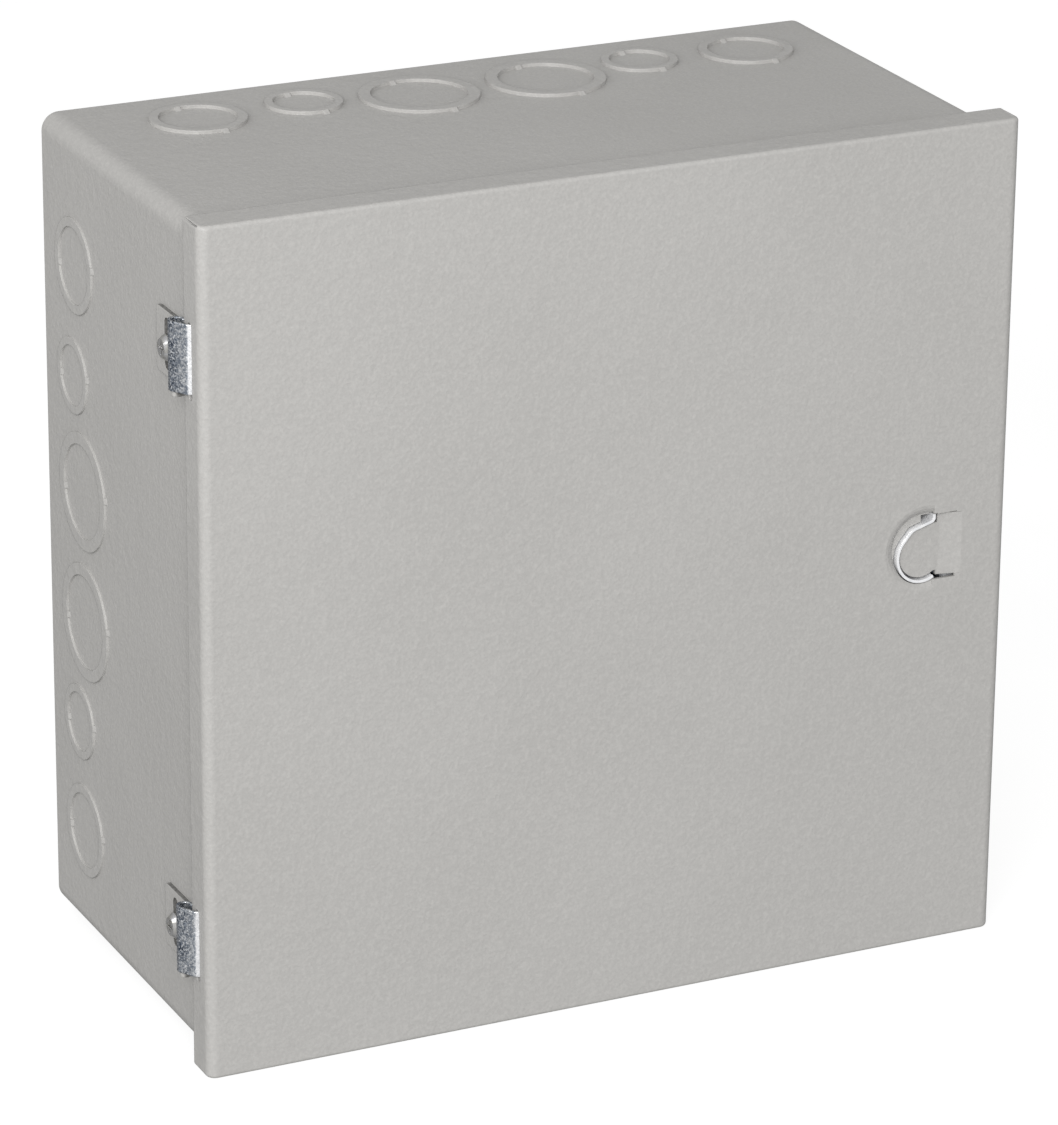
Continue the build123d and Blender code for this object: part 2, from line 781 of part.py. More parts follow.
# =============================================================================
# Branch breakers: six single-pole cases with rocking handles
# =============================================================================
window_y, window_l = between(breaker_front - window_margin, breaker_front + window_depth)
numbers = {(-1, 0): 1, (1, 0): 2, (-1, 1): 3, (1, 1): 4, (-1, 2): 5, (1, 2): 6}
for (side, row), number in numbers.items():
    pivot = (side * handle_x, handle_y)
    with BuildPart() as breaker_case:
        with BuildSketch(Plane.XY.offset(row_z[row] - breaker_t / 2)):
            with BuildLine():
                Polyline(
                    (side * breaker_in, breaker_back),
                    (side * breaker_out, breaker_back),
                    (side * breaker_out, breaker_step + breaker_toe),
                    (side * (breaker_out - breaker_toe), breaker_step),
                    (side * (breaker_face_end + face_slope), breaker_step),
                    (side * breaker_face_end, breaker_step - face_slope),
                    (side * breaker_face_end, breaker_front),
                    (side * breaker_in, breaker_front),
                    close=True,
                )
            make_face()
        extrude(amount=breaker_t)
        chamfer(breaker_case.faces().sort_by(Axis.Y)[0].edges(), breaker_edge)
        # Hollow for the handle drum and its slot in the face.
        with BuildSketch(Plane.XY.offset(row_z[row] - handle_w / 2 - handle_play)):
            with Locations(pivot):
                Circle(handle_r + handle_play)
            with Locations((side * handle_x, window_y)):
                Rectangle(handle_window, window_l)
        extrude(amount=handle_w + 2 * handle_play, mode=Mode.SUBTRACT)
        # Jaw slot over the bus blade, wire hole and driver hole at the outer end.
        with BuildSketch(Plane.XY.offset(row_z[row] - jaw_w / 2)):
            with Locations((side * (breaker_in + jaw_l / 2), breaker_back - jaw_depth / 2)):
                Rectangle(jaw_l, jaw_depth)
        extrude(amount=jaw_w, mode=Mode.SUBTRACT)
        with BuildSketch(Plane.YZ.offset(side * breaker_out)):
            with Locations((wire_hole_y, row_z[row])):
                Circle(wire_hole_r)
        extrude(amount=-side * wire_hole_l, mode=Mode.SUBTRACT)
        with BuildSketch(Plane.XZ.offset(-breaker_step)):
            with Locations((side * terminal_x, row_z[row])):
                Circle(terminal_hole_r)
        extrude(amount=-terminal_hole_l, mode=Mode.SUBTRACT)
    save(breaker_case, f"branch_breaker_case_{number}")

    handle_plane = Plane(
        origin=(*pivot, row_z[row] - handle_w / 2),
        x_dir=(math.cos(tilt), -side * math.sin(tilt), 0),
        z_dir=(0, 0, 1),
    )
    with BuildPart() as breaker_handle:
        with BuildSketch(handle_plane):
            Circle(handle_r)
            with BuildLine():
                Polyline(
                    (-handle_root, -handle_neck),
                    (-handle_tip, -handle_reach),
                    (handle_tip, -handle_reach),
                    (handle_root, -handle_neck),
                    close=True,
                )
            make_face()
        extrude(amount=handle_w)
        fillet(breaker_handle.faces().sort_by(Axis.Y)[0].edges(), handle_edge_r)
    save(breaker_handle, f"branch_breaker_handle_{number}")

terminal_seat = breaker_step + terminal_hole_l - thread_play
with BuildPart() as breaker_terminal_screws:
    for side in (1, -1):
        with BuildSketch(Plane.XZ.offset(-terminal_seat)):
            for level in row_z:
                with Locations((side * terminal_x, level)):
                    Circle(terminal_screw_r)
        extrude(amount=terminal_screw_t)
        with BuildSketch(Plane.XZ.offset(-terminal_seat + terminal_screw_t)):
            for level in row_z:
                with Locations((side * terminal_x, level)):
                    Rectangle(*terminal_slot)
        extrude(amount=-terminal_screw_t / 2, mode=Mode.SUBTRACT)
save(breaker_terminal_screws, "breaker_terminal_screws")

# =============================================================================
# Main breaker: two-pole case, common handle, line lugs
# =============================================================================
chamfer_back, chamfer_down = main_chamfer
with BuildPart() as main_breaker_case:
    with BuildSketch(Plane.YZ.offset(-main_half_w)):
        with BuildLine():
            Polyline(
                (breaker_back, main_bottom),
                (breaker_back, main_top),
                (breaker_step + chamfer_back, main_top),
                (breaker_step, main_top - chamfer_down),
                (breaker_step, main_z + main_face + main_shoulder),
                (breaker_front, main_z + main_face),
                (breaker_front, main_z - main_face),
                (breaker_step, main_z - main_face - main_shoulder),
                (breaker_step, main_bottom),
                close=True,
            )
        make_face()
    extrude(amount=2 * main_half_w)
    chamfer(main_breaker_case.faces().sort_by(Axis.Y)[0].edges(), breaker_edge)
    with BuildSketch(Plane.YZ.offset(-main_handle_w / 2 - handle_play)):
        with Locations((handle_y, main_z)):
            Circle(handle_r + handle_play)
        with Locations((window_y, main_z)):
            Rectangle(window_l, main_window)
    extrude(amount=main_handle_w + 2 * handle_play, mode=Mode.SUBTRACT)
    # Groove that marks the joint between the two poles.
    with BuildSketch(Plane.XY.offset(main_bottom)):
        with Locations((0, breaker_step)):
            Rectangle(*pole_groove)
    extrude(amount=main_z - main_face - 2 * main_shoulder - main_bottom, mode=Mode.SUBTRACT)
save(main_breaker_case, "main_breaker_case")

main_handle_plane = Plane(
    origin=(-main_handle_w / 2, handle_y, main_z),
    x_dir=(0, math.cos(tilt), -math.sin(tilt)),
    z_dir=(1, 0, 0),
)
with BuildPart() as main_breaker_handle:
    with BuildSketch(main_handle_plane):
        Circle(handle_r)
        with BuildLine():
            Polyline(
                (-handle_neck, -handle_root),
                (-handle_reach, -handle_tip),
                (-handle_reach, handle_tip),
                (-handle_neck, handle_root),
                close=True,
            )
        make_face()
    extrude(amount=main_handle_w)
    fillet(main_breaker_handle.faces().sort_by(Axis.Y)[0].edges(), handle_edge_r)
save(main_breaker_handle, "main_breaker_handle")

lug_mid_y, lug_d = between(lug_front, lug_back)
with BuildPart() as main_lugs:
    with BuildSketch(Plane.XY.offset(main_top)):
        with Locations((lug_x, lug_mid_y), (-lug_x, lug_mid_y)):
            RectangleRounded(lug_w, lug_d, lug_edge_r)
    extrude(amount=lug_l)
    with BuildSketch(Plane.XY.offset(main_top + lug_floor)):
        with Locations((lug_x, lug_bore_y), (-lug_x, lug_bore_y)):
            Circle(lug_bore_r)
    extrude(amount=lug_l - lug_floor, mode=Mode.SUBTRACT)
    with BuildSketch(Plane.XZ.offset(-lug_front)):
        with Locations((lug_x, lug_screw_z), (-lug_x, lug_screw_z)):
            Circle(lug_screw_r + pin_play)
    extrude(amount=-lug_screw_l, mode=Mode.SUBTRACT)
save(main_lugs, "main_lugs")

with BuildPart() as main_lug_screws:
    with BuildSketch(Plane.XZ.offset(-lug_front)):
        with Locations((lug_x, lug_screw_z), (-lug_x, lug_screw_z)):
            Circle(lug_screw_r)
    extrude(amount=-lug_screw_l)
    with BuildSketch(Plane.XZ.offset(-lug_front)):
        with Locations((lug_x, lug_screw_z), (-lug_x, lug_screw_z)):
            RegularPolygon(lug_socket_r, 6)
    extrude(amount=-lug_socket_l, mode=Mode.SUBTRACT)
save(main_lug_screws, "main_lug_screws")

# =============================================================================
# Neutral bar on standoffs, ground bar on feet, and the bonding strap
# =============================================================================
for name, side, front, bar_t in (
    ("neutral_bar", -1, neutral_face, neutral_bar_t),
    ("ground_bar", 1, ground_face, ground_bar_t),
):
    with BuildPart() as bar:
        with BuildSketch(Plane.XZ.offset(-front)):
            with Locations((side * bar_x, 0)):
                Rectangle(bar_w, 2 * bar_half)
        extrude(amount=-bar_t)
        with BuildSketch(Plane.XZ.offset(-front)):
            with Locations((side * bar_x, 0)):
                with GridLocations(1, screw_pitch, 1, screw_count):
                    Circle(bar_screw_r + thread_play)
        extrude(amount=-bar_screw_hole, mode=Mode.SUBTRACT)
        with BuildSketch(Plane.YZ.offset(side * bar_x - bar_w / 2)):
            with Locations((front + bar_wire_depth, 0)):
                with GridLocations(1, screw_pitch, 1, screw_count):
                    Circle(bar_wire_r)
        extrude(amount=bar_w, mode=Mode.SUBTRACT)
    save(bar, name)

    with BuildPart() as bar_screws:
        with BuildSketch(Plane.XZ.offset(-front - bar_screw_in)):
            with Locations((side * bar_x, 0)):
                with GridLocations(1, screw_pitch, 1, screw_count):
                    Circle(bar_screw_r)
        extrude(amount=bar_screw_in + bar_screw_up)
        with BuildSketch(Plane.XZ.offset(-front + bar_screw_up)):
            with Locations((side * bar_x, 0)):
                with GridLocations(1, screw_pitch, 1, screw_count):
                    Rectangle(bar_screw_slot_l, bar_screw_slot)
        extrude(amount=-recess_depth, mode=Mode.SUBTRACT)
    save(bar_screws, f"{name}_screws")

with BuildPart() as neutral_standoffs:
    with BuildSketch(Plane.XZ.offset(sheet)):
        with Locations((-bar_x, 0)):
            with GridLocations(1, 2 * (bar_half - standoff_in), 1, 2):
                RectangleRounded(standoff_w, standoff_h, standoff_edge_r)
    extrude(amount=-(neutral_face + neutral_bar_t) - sheet)
save(neutral_standoffs, "neutral_bar_standoffs")

with BuildPart() as ground_feet:
    with BuildSketch(Plane.XZ.offset(sheet)):
        with Locations((bar_x, 0)):
            with GridLocations(1, 2 * (bar_half - foot_in), 1, 2):
                Rectangle(bar_w, foot_h)
    extrude(amount=-(ground_face + ground_bar_t) - sheet)
save(ground_feet, "ground_bar_feet")

with BuildPart() as bonding_strap:
    with BuildSketch(Plane.YZ.offset(-bar_x - strap_w / 2)):
        with BuildLine():
            Polyline(
                (back_in - strap_t / 2, strap_low),
                (back_in - strap_t / 2, strap_bend),
                (strap_y, strap_bend),
                (strap_y, -bar_half),
            )
        trace(line_width=strap_t)
    extrude(amount=strap_w)
save(bonding_strap, "bonding_strap")

bond_seat = sheet + strap_t
with BuildPart() as bonding_screw:
    with BuildSketch(Plane.XZ.offset(bond_seat)):
        with Locations((-bar_x, bond_z)):
            RegularPolygon(bond_r, 6)
    extrude(amount=bond_t)
    with BuildSketch(Plane.XZ.offset(bond_seat + bond_t)):
        with Locations((-bar_x, bond_z)):
            Rectangle(*bond_slot)
    extrude(amount=-recess_depth, mode=Mode.SUBTRACT)
save(bonding_screw, "bonding_screw")

# =============================================================================
# Dead front, its side rails and screws
# =============================================================================
trim_out = -trim_back + trim_t
with BuildPart() as dead_front:
    with BuildSketch(Plane.XZ.offset(trim_out)):
        RectangleRounded(2 * trim_half, 2 * trim_half, 2 * trim_edge_r)
    extrude(amount=-(trim_t + trim_return))
    fillet(dead_front.faces().sort_by(Axis.Y)[0].edges(), trim_edge_r)
    with BuildSketch(Plane.XZ.offset(-trim_back)):
        Rectangle(2 * (trim_half - trim_t), 2 * (trim_half - trim_t))
    extrude(amount=-trim_return, mode=Mode.SUBTRACT)
    # Windows round the breaker faces, and the holes for the cover screws.
    face_mid_x, face_w = between(breaker_in, breaker_face_end)
    with BuildSketch(Plane.XZ.offset(trim_out)):
        for side in (1, -1):
            with Locations((side * face_mid_x, row_z[1])):
                Rectangle(face_w + 2 * trim_gap, 3 * breaker_pitch + trim_gap)
        with Locations((0, main_z)):
            Rectangle(2 * (main_half_w + trim_gap), 2 * (main_face + trim_gap))
        with GridLocations(2 * trim_screw_x, 2 * trim_screw_z, 2, 2):
            Circle(trim_hole_r)
    extrude(amount=-2 * trim_t, mode=Mode.SUBTRACT)
save(dead_front, "dead_front")

for name, side in (("trim_rail_left", -1), ("trim_rail_right", 1)):
    with BuildPart() as rail:
        with BuildSketch(Plane.XY.offset(-trim_rail_half)):
            with BuildLine():
                wall_side = side * (inner_x - sheet / 2)
                Polyline(
                    (side * trim_rail_in, trim_back + sheet / 2),
                    (side * trim_rail_out, trim_back + sheet / 2),
                    (side * trim_rail_out, trim_rail_y),
                    (wall_side, trim_rail_y),
                    (wall_side, trim_rail_y + trim_rail_foot),
                )
            trace(line_width=sheet)
        extrude(amount=2 * trim_rail_half)
        with BuildSketch(Plane.XZ.offset(-trim_back)):
            with Locations((side * trim_screw_x, trim_screw_z), (side * trim_screw_x, -trim_screw_z)):
                Circle(trim_screw_r + thread_play)
        extrude(amount=-sheet, mode=Mode.SUBTRACT)
    save(rail, name)

with BuildPart() as dead_front_screws:
    with BuildSketch(Plane.XZ.offset(trim_out)):
        with GridLocations(2 * trim_screw_x, 2 * trim_screw_z, 2, 2):
            Circle(trim_head_r)
    extrude(amount=trim_head_t, taper=trim_head_taper)
    with BuildSketch(Plane.XZ.offset(trim_out + trim_head_t)):
        with GridLocations(2 * trim_screw_x, 2 * trim_screw_z, 2, 2):
            Rectangle(trim_head_r, recess_w)
            Rectangle(recess_w, trim_head_r)
    extrude(amount=-recess_depth, mode=Mode.SUBTRACT)
    with BuildSketch(Plane.XZ.offset(trim_out)):
        with GridLocations(2 * trim_screw_x, 2 * trim_screw_z, 2, 2):
            Circle(trim_screw_r)
    extrude(amount=-trim_screw_l)
save(dead_front_screws, "dead_front_screws")
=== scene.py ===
import json
import math

import bmesh
import bpy
from mathutils import Matrix, Vector


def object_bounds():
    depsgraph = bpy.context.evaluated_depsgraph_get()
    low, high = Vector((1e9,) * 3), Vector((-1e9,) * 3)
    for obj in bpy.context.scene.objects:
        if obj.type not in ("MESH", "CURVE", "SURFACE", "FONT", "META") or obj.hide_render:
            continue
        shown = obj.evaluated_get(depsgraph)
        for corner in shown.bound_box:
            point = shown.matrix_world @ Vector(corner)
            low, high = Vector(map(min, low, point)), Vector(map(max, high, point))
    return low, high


# Residential load center: finishes, floor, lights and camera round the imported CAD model.
# Metres, Z up, the door faces -Y.

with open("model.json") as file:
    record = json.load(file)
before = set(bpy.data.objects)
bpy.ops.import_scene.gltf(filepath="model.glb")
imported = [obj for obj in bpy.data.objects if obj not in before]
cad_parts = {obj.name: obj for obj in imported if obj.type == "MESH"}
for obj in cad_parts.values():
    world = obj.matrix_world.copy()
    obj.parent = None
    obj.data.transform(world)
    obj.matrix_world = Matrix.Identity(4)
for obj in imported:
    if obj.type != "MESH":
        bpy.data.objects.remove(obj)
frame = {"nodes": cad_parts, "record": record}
cad_low, cad_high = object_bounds()
cad_centre = (cad_low + cad_high) / 2
nodes = frame["nodes"]

# Values between which most of a noise lies, and its middle part, used for more contrast.
NOISE_RANGE = (0.3, 0.7)
NOISE_MIDDLE = (0.35, 0.65)
# How far the rounded normal agrees with the face's own where an edge begins, and right on it.
AGREES_NEAR_EDGE = 0.995
AGREES_ON_EDGE = 0.90


# =============================================================================
# Shader building
# =============================================================================
class Shader:
    """A node material being built. Lengths are metres in the object's own frame."""

    def __init__(self, name, **constants):
        self.material = bpy.data.materials.new(name)
        self.material.use_nodes = True
        self.tree = self.material.node_tree
        self.surface = self.tree.nodes["Principled BSDF"]
        self.place = self.tree.nodes.new("ShaderNodeTexCoord").outputs["Object"]
        for socket, value in constants.items():
            self.surface.inputs[socket.replace("_", " ")].default_value = value

    def node(self, kind, inputs, output=0, **settings):
        """Adds one node, sets or links its inputs, and returns one of its outputs."""
        made = self.tree.nodes.new("ShaderNode" + kind)
        for key, value in settings.items():
            setattr(made, key, value)
        for key, value in inputs.items():
            if isinstance(value, bpy.types.NodeSocket):
                self.tree.links.new(value, made.inputs[key])
            else:
                made.inputs[key].default_value = value
        return made.outputs[output]

    def stretched(self, stretch):
        """The place, scaled along the axes, for grain that runs one way."""
        return self.node("Mapping", {"Vector": self.place, "Scale": stretch})

    def noise(self, feature, detail=2.0, rough=0.5, warp=0.0, place=None):
        """Soft noise from 0 to 1 whose blobs are about feature metres across."""
        inputs = {
            "Vector": place or self.place,
            "Scale": 1.0 / feature,
            "Detail": detail,
            "Roughness": rough,
            "Distortion": warp,
        }
        return self.node("TexNoise", inputs)

    def cells(self, feature):
        """A random number from 0 to 1 for each crystal-like cell about feature metres across."""
        inputs = {"Vector": self.place, "Scale": 1.0 / feature}
        colours = self.node("TexVoronoi", inputs, "Color", feature="F1")
        return self.node("SeparateColor", {"Color": colours}, "Red")

    def fit(self, value, low, high, to_low, to_high):
        """The value moved from the range low..high to to_low..to_high, and held there."""
        inputs = {0: value, 1: low, 2: high, 3: to_low, 4: to_high}
        return self.node("MapRange", inputs)

    def vary(self, noise, low, high):
        """The noise as a number that runs from low to high."""
        return self.fit(noise, *NOISE_RANGE, low, high)

    def spread(self, noise):
        """The noise with more contrast, from 0 to 1."""
        return self.fit(noise, *NOISE_MIDDLE, 0.0, 1.0)

    def calc(self, operation, first, second):
        return self.node("Math", {0: first, 1: second}, operation=operation)

    def blend(self, share, first, second):
        """Colour first where share is 0 and second where it is 1."""
        inputs = {"Factor": share, "A": colour(first), "B": colour(second)}
        made = self.tree.nodes.new("ShaderNodeMix")
        made.data_type = "RGBA"
        for name, value in inputs.items():
            socket = [s for s in made.inputs if s.name == name and s.enabled][0]
            if isinstance(value, bpy.types.NodeSocket):
                self.tree.links.new(value, socket)
            else:
                socket.default_value = value
        return [s for s in made.outputs if s.enabled][0]

    def rounded(self, radius):
        """The normal as if each sharp edge were rounded to that radius."""
        return self.node("Bevel", {"Radius": radius}, samples=6)

    def along(self, first, second):
        """How far two directions agree: 1 when they are the same."""
        return self.node("VectorMath", {0: first, 1: second}, "Value", operation="DOT_PRODUCT")

    def edge(self, rounded):
        """A mask that is 1 along sharp edges, from their rounded normal."""
        alike = self.along(rounded, self.node("NewGeometry", {}, "Normal"))
        return self.fit(alike, AGREES_NEAR_EDGE, AGREES_ON_EDGE, 0.0, 1.0)

    def bump(self, height, depth, normal):
        """The normal bent by height, which spans depth metres."""
        inputs = {"Height": height, "Distance": depth, "Strength": 1.0, "Normal": normal}
        return self.node("Bump", inputs)

    def finish(self, base, roughness, normal=None):
        links = {"Base Color": base, "Roughness": roughness, "Normal": normal}
        for socket, value in links.items():
            if value is not None:
                self.tree.links.new(value, self.surface.inputs[socket])
        return self.material


def colour(value):
    """A socket as it is, or a grey level or an RGB colour as four numbers."""
    if isinstance(value, bpy.types.NodeSocket):
        return value
    if isinstance(value, (int, float)):
        return (value, value, value, 1.0)
    return (*value, 1.0)


# =============================================================================
# Finishes, one function each
# =============================================================================
def powder_coat(name="powder_coat", face=None):
    """Satin grey powder coat: fine orange peel, worn along the edges with a painted highlight
    there, slightly cloudy.

    With a face direction, the coat is made dark on the sheared edges that don't face along it.
    """
    s = Shader(name, Specular_IOR_Level=0.45)
    peel = s.noise(0.0014, detail=2.0, rough=0.55)
    swell = s.noise(0.0045, detail=1.0, rough=0.5)
    cloud = s.noise(0.09, detail=3.0, rough=0.6)
    peel_glint_speck = s.noise(0.0009, detail=2.0, rough=0.6)
    rounded = s.rounded(0.0005)
    # Lighter along sharp edges: edge wear, with a painted highlight that stands for glints on the
    # bends.
    wear_and_glint = s.fit(s.noise(0.004, detail=4.0, rough=0.7), 0.45, 0.7, 0.1, 0.7)
    worn_and_glinting = s.calc("MULTIPLY", s.edge(rounded), wear_and_glint)
    tone = s.blend(s.spread(cloud), (0.432, 0.424, 0.409), (0.450, 0.442, 0.427))
    # Darker specks: a painted mottle that stands for the small highlights and shade of the orange
    # peel.
    grain = s.blend(s.fit(peel_glint_speck, 0.35, 0.65, 0.0, 0.30), tone, (0.36, 0.354, 0.342))
    # Lighter on the crests of the peel bumps: a painted highlight.
    painted_peel_highlight = s.blend(s.fit(peel, 0.45, 0.75, 0.0, 0.40), grain, (0.53, 0.52, 0.50))
    base = s.blend(worn_and_glinting, painted_peel_highlight, (0.56, 0.55, 0.53))
    if face:
        # Dark on the faces that don't point along the face direction, the plate's edges.
        facing = s.along(s.node("NewGeometry", {}, "Normal"), face)
        sheared = s.fit(s.node("Math", {0: facing}, operation="ABSOLUTE"), 0.3, 0.7, 1.0, 0.0)
        dark_edges = s.calc("MULTIPLY", sheared, s.fit(peel, 0.3, 0.6, 0.6, 0.95))
        base = s.blend(dark_edges, base, (0.10, 0.098, 0.094))
    rough = s.vary(cloud, 0.40, 0.47)
    skin = s.bump(swell, 0.00020, rounded)
    return s.finish(base, rough, s.bump(peel, 0.00016, skin))


def zinc_strip():
    """Zinc plate with a fine dark bluish spangle, and a painted highlight where it bends into the
    door.
    """
    s = Shader("zinc_strip", Metallic=0.85)
    place = s.node("TexCoord", {}, "Generated")
    across = s.node("SeparateXYZ", {"Vector": place}, "X")
    back = s.node("SeparateXYZ", {"Vector": place}, "Y")
    doorward = s.calc("SUBTRACT", across, back)
    grain = s.cells(0.0007)
    patch = s.noise(0.0030, detail=3.0, rough=0.6, warp=0.6)
    fleck = s.noise(0.0006, detail=2.0, rough=0.6)
    dense = s.fit(doorward, -0.5, 0.05, 1.0, 0.45)
    dense = s.calc("MULTIPLY", s.fit(patch, 0.4, 0.6, 0.55, 1.0), dense)
    dark = s.calc("MULTIPLY", s.fit(fleck, 0.42, 0.56, 0.0, 1.0), dense)
    # Near-white band where the strip bends into the door: a painted highlight, which also raises
    # the roughness there.
    painted_bend_highlight = s.fit(doorward, 0.15, 0.23, 0.0, 1.0)
    painted_bend_highlight = s.calc("MULTIPLY", painted_bend_highlight, s.fit(fleck, 0.4, 0.6, 1.0, 0.7))
    tone = s.blend(s.fit(grain, 0.1, 0.9, 0.0, 1.0), (0.33, 0.37, 0.43), (0.90, 0.92, 0.94))
    plated = s.blend(dark, tone, (0.035, 0.05, 0.08))
    base = s.blend(painted_bend_highlight, plated, (0.98, 0.98, 0.99))
    rough = s.calc("ADD", s.vary(patch, 0.24, 0.42), s.calc("MULTIPLY", painted_bend_highlight, 0.2))
    rounded = s.rounded(0.0006)
    return s.finish(base, rough, s.bump(fleck, 0.00004, rounded))


def bright_plate():
    """Bright zinc on the finger lever: smooth, with faint forming lines."""
    s = Shader("bright_plate", Metallic=0.25)
    forming = s.noise(0.0012, detail=4.0, rough=0.6, warp=0.3, place=s.stretched((1.0, 0.12, 1.0)))
    smear = s.noise(0.003, detail=3.0, rough=0.6)
    base = s.blend(s.spread(smear), (0.84, 0.85, 0.87), (0.97, 0.97, 0.98))
    rough = s.vary(forming, 0.10, 0.22)
    rounded = s.rounded(0.00035)
    return s.finish(base, rough, s.bump(forming, 0.00001, rounded))


def galvanised():
    """Mill-galvanised sheet: large dull crystals in several greys."""
    s = Shader("galvanised", Metallic=1.0)
    crystal = s.cells(0.0075)
    feather = s.noise(0.0016, detail=4.0, rough=0.65, warp=1.2)
    tone = s.blend(crystal, (0.50, 0.52, 0.54), (0.72, 0.73, 0.74))
    base = s.blend(s.fit(feather, 0.4, 0.65, 0.0, 0.45), tone, (0.42, 0.44, 0.46))
    rough = s.calc("ADD", s.fit(crystal, 0.0, 1.0, 0.30, 0.44), s.vary(feather, 0.0, 0.08))
    rounded = s.rounded(0.0003)
    return s.finish(base, rough, s.bump(feather, 0.00002, rounded))


def screw_plate():
    """Zinc-plated screw: bright, faintly yellow, with turning marks."""
    s = Shader("screw_plate", Metallic=0.85)
    stain = s.noise(0.0018, detail=3.0, rough=0.6)
    mark = s.noise(0.0004, detail=3.0, rough=0.6)
    base = s.blend(s.spread(stain), (0.56, 0.55, 0.51), (0.70, 0.70, 0.72))
    rough = s.vary(mark, 0.12, 0.24)
    rounded = s.rounded(0.00025)
    return s.finish(base, rough, s.bump(mark, 0.000015, rounded))


def thermoset():
    """Moulded black breaker case: fine spark-eroded texture and faint flow marks."""
    s = Shader("thermoset", Specular_IOR_Level=0.45)
    texture = s.noise(0.0004, detail=3.0, rough=0.6)
    flow = s.noise(0.011, detail=3.0, rough=0.6, warp=1.5)
    base = s.blend(s.spread(flow), (0.022, 0.022, 0.024), (0.033, 0.033, 0.035))
    rough = s.vary(flow, 0.48, 0.58)
    rounded = s.rounded(0.0004)
    tone = s.blend(s.edge(rounded), base, (0.06, 0.06, 0.062))
    return s.finish(tone, rough, s.bump(texture, 0.00006, rounded))


def handle_black():
    """Satin black handle moulding, polished a little by fingers."""
    s = Shader("handle_black", Specular_IOR_Level=0.5)
    rub = s.noise(0.005, detail=3.0, rough=0.6)
    texture = s.noise(0.0003, detail=2.0, rough=0.6)
    base = s.blend(s.spread(rub), (0.010, 0.010, 0.011), (0.016, 0.016, 0.017))
    rough = s.vary(rub, 0.28, 0.42)
    rounded = s.rounded(0.0005)
    return s.finish(base, rough, s.bump(texture, 0.00002, rounded))


def glass_filled():
    """Dark grey glass-filled moulding with short fibres under the skin."""
    s = Shader("glass_filled", Specular_IOR_Level=0.4)
    fibre = s.noise(0.0009, detail=3.0, rough=0.7, warp=2.0, place=s.stretched((1.0, 1.0, 0.25)))
    base = s.blend(s.fit(fibre, 0.4, 0.65, 0.0, 1.0), (0.055, 0.055, 0.060), (0.095, 0.095, 0.10))
    rough = s.vary(fibre, 0.42, 0.55)
    rounded = s.rounded(0.0005)
    return s.finish(base, rough, s.bump(fibre, 0.00003, rounded))


def tin_plate():
    """Tin-plated bus bar: soft lustre with rolling lines along the bar."""
    s = Shader("tin_plate", Metallic=1.0)
    rolled = s.noise(0.0006, detail=3.0, rough=0.6, place=s.stretched((1.0, 1.0, 0.04)))
    bloom = s.noise(0.006, detail=3.0, rough=0.6)
    base = s.blend(s.spread(bloom), (0.66, 0.67, 0.68), (0.78, 0.78, 0.78))
    rough = s.vary(rolled, 0.28, 0.42)
    rounded = s.rounded(0.0003)
    return s.finish(base, rough, s.bump(rolled, 0.00001, rounded))


def extruded_alloy():
    """Extruded aluminium bar: die lines along its length."""
    s = Shader("extruded_alloy", Metallic=1.0)
    die = s.noise(0.0004, detail=2.0, rough=0.5, place=s.stretched((1.0, 1.0, 0.02)))
    base = s.blend(s.spread(die), (0.68, 0.69, 0.70), (0.80, 0.80, 0.81))
    rough = s.vary(die, 0.24, 0.38)
    rounded = s.rounded(0.0003)
    return s.finish(base, rough, s.bump(die, 0.000012, rounded))


def nylon():
    """Natural nylon standoff, milky, with a fine mould skin."""
    s = Shader("nylon", Subsurface_Weight=0.15, Subsurface_Scale=0.003)
    milk = s.noise(0.004, detail=3.0, rough=0.6)
    base = s.blend(s.spread(milk), (0.70, 0.68, 0.61), (0.78, 0.76, 0.70))
    rough = s.vary(milk, 0.38, 0.5)
    rounded = s.rounded(0.0006)
    return s.finish(base, rough, s.bump(s.noise(0.0005), 0.00003, rounded))


def green_screw():
    """Green dyed bonding screw."""
    s = Shader("green_screw", Metallic=0.6)
    dye = s.noise(0.0012, detail=3.0, rough=0.6)
    base = s.blend(s.spread(dye), (0.02, 0.17, 0.05), (0.04, 0.27, 0.09))
    rough = s.vary(dye, 0.3, 0.45)
    rounded = s.rounded(0.0003)
    return s.finish(base, rough, s.bump(dye, 0.00001, rounded))


def pale_floor():
    """White floor that glows a little, so that only a faint shadow shows on it."""
    s = Shader("pale_floor", Specular_IOR_Level=0.1, Emission_Strength=0.83)
    s.surface.inputs["Emission Color"].default_value = (1.0, 1.0, 1.0, 1.0)
    mottle = s.noise(0.35, detail=3.0, rough=0.6)
    base = s.blend(s.vary(mottle, 0.0, 1.0), 0.22, 0.25)
    rough = s.vary(mottle, 0.85, 0.95)
    return s.finish(base, rough)


finish_of_slot = {
    "enclosure_paint": powder_coat(),
    "zinc_plate": zinc_strip(),
    "galvanised": galvanised(),
    "screw_zinc": screw_plate(),
    "breaker_case": thermoset(),
    "breaker_handle": handle_black(),
    "insulator": glass_filled(),
    "bus_metal": tin_plate(),
    "bar_alloy": extruded_alloy(),
    "standoff": nylon(),
    "ground_green": green_screw(),
}
leaf_paint = powder_coat("leaf_paint", (1.0, 0.0, 0.0))
finish_of_node = {
    "latch_lever": bright_plate(),
    "hinge_leaf_upper": leaf_paint,
    "hinge_leaf_lower": leaf_paint,
}


def paint_cad_nodes():
    """Gives each CAD node the finish of its material slot, or its own."""
    for part in frame["record"]["subparts"]:
        name = part["node"]
        mesh = nodes[name].data
        mesh.materials.clear()
        mesh.materials.append(finish_of_node.get(name, finish_of_slot[part["material_slot"]]))


paint_cad_nodes()


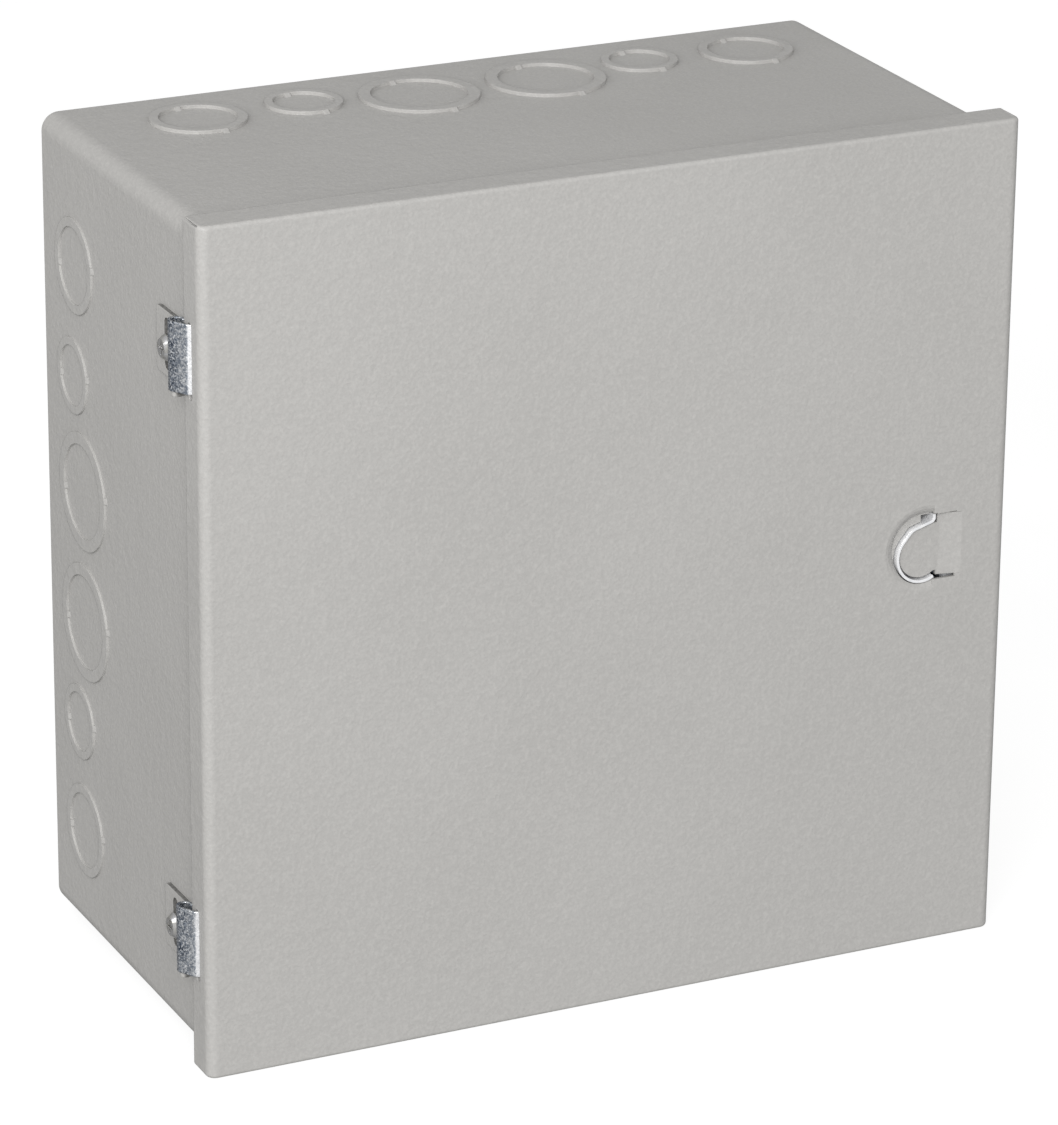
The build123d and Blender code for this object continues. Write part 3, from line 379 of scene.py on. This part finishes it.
# =============================================================================
# Floor, lights and camera
# =============================================================================
def add_floor(radius=40.0, sides=96):
    """A round floor under the object. Its light and its mirror image don't reach the object."""
    mesh = bpy.data.meshes.new("floor")
    build = bmesh.new()
    bmesh.ops.create_circle(build, cap_ends=True, segments=sides, radius=radius)
    build.to_mesh(mesh)
    build.free()
    floor = bpy.data.objects.new("floor", mesh)
    floor.location = (0.0, 0.0, cad_low.z)
    mesh.materials.append(pale_floor())
    bpy.context.scene.collection.objects.link(floor)
    floor.visible_diffuse = False
    floor.visible_glossy = False


def aim(thing, target):
    """Turns a light so that it shines towards the target."""
    way = Vector(target) - thing.location
    thing.rotation_euler = way.to_track_quat("-Z", "Y").to_euler()


def add_softbox(name, place, width, height, power, mirrored=True):
    """A rectangular light of power watts, aimed at the object, mirrored in gloss or not."""
    data = bpy.data.lights.new(name, "AREA")
    data.shape = "RECTANGLE"
    data.size = width
    data.size_y = height
    data.energy = power
    lamp = bpy.data.objects.new(name, data)
    lamp.location = place
    lamp.visible_glossy = mirrored
    aim(lamp, cad_centre)
    bpy.context.scene.collection.objects.link(lamp)


def add_sky(dim, bright, toward):
    """White surroundings that brighten towards one direction."""
    world = bpy.data.worlds.new("studio")
    world.use_nodes = True
    tree = world.node_tree
    way = tree.nodes.new("ShaderNodeTexCoord")
    facing = tree.nodes.new("ShaderNodeVectorMath")
    facing.operation = "DOT_PRODUCT"
    facing.inputs[1].default_value = Vector(toward).normalized()
    level = tree.nodes.new("ShaderNodeMapRange")
    level.inputs["From Min"].default_value = -1.0
    level.inputs["To Min"].default_value = dim
    level.inputs["To Max"].default_value = bright
    tree.links.new(way.outputs["Generated"], facing.inputs[0])
    tree.links.new(facing.outputs["Value"], level.inputs["Value"])
    tree.links.new(level.outputs["Result"], tree.nodes["Background"].inputs["Strength"])
    tree.nodes["Background"].inputs["Color"].default_value = (1.0, 1.0, 1.0, 1.0)
    bpy.context.scene.world = world


def about(axis, degrees):
    """A turn about one of the axes."""
    return Matrix.Rotation(math.radians(degrees), 4, axis)


def add_camera(place, yaw, pitch, roll, lens):
    """Angles in degrees: yaw from +Y towards +X, pitch above the horizon, roll clockwise.

    The lens is its focal length in millimetres.
    """
    data = bpy.data.cameras.new("camera")
    data.lens = lens
    data.sensor_width = 36.0
    data.clip_start = 0.05
    data.clip_end = 200.0
    camera = bpy.data.objects.new("camera", data)
    look = about("Z", -yaw) @ about("X", 90.0 + pitch)
    camera.matrix_world = Matrix.Translation(place) @ look @ about("Z", roll)
    bpy.context.scene.collection.objects.link(camera)
    bpy.context.scene.camera = camera


add_floor()
add_sky(dim=0.195, bright=0.70, toward=(-0.3, -0.7, 0.55))
add_softbox("key_front_left", place=(-1.15, -2.0, 0.98), width=1.3, height=1.1, power=41.5)
add_softbox("fill_left", place=(-1.25, -0.1, 0.65), width=0.7, height=0.7, power=2.8)
add_softbox("back_right", place=(2.2, 2.4, 0.5), width=1.6, height=1.6, power=24.0, mirrored=False)
add_camera(place=(-0.8362, -1.8362, 0.7397), yaw=25.519, pitch=-21.173, roll=0.52, lens=184.27)
bpy.context.scene.view_settings.view_transform = "Standard"
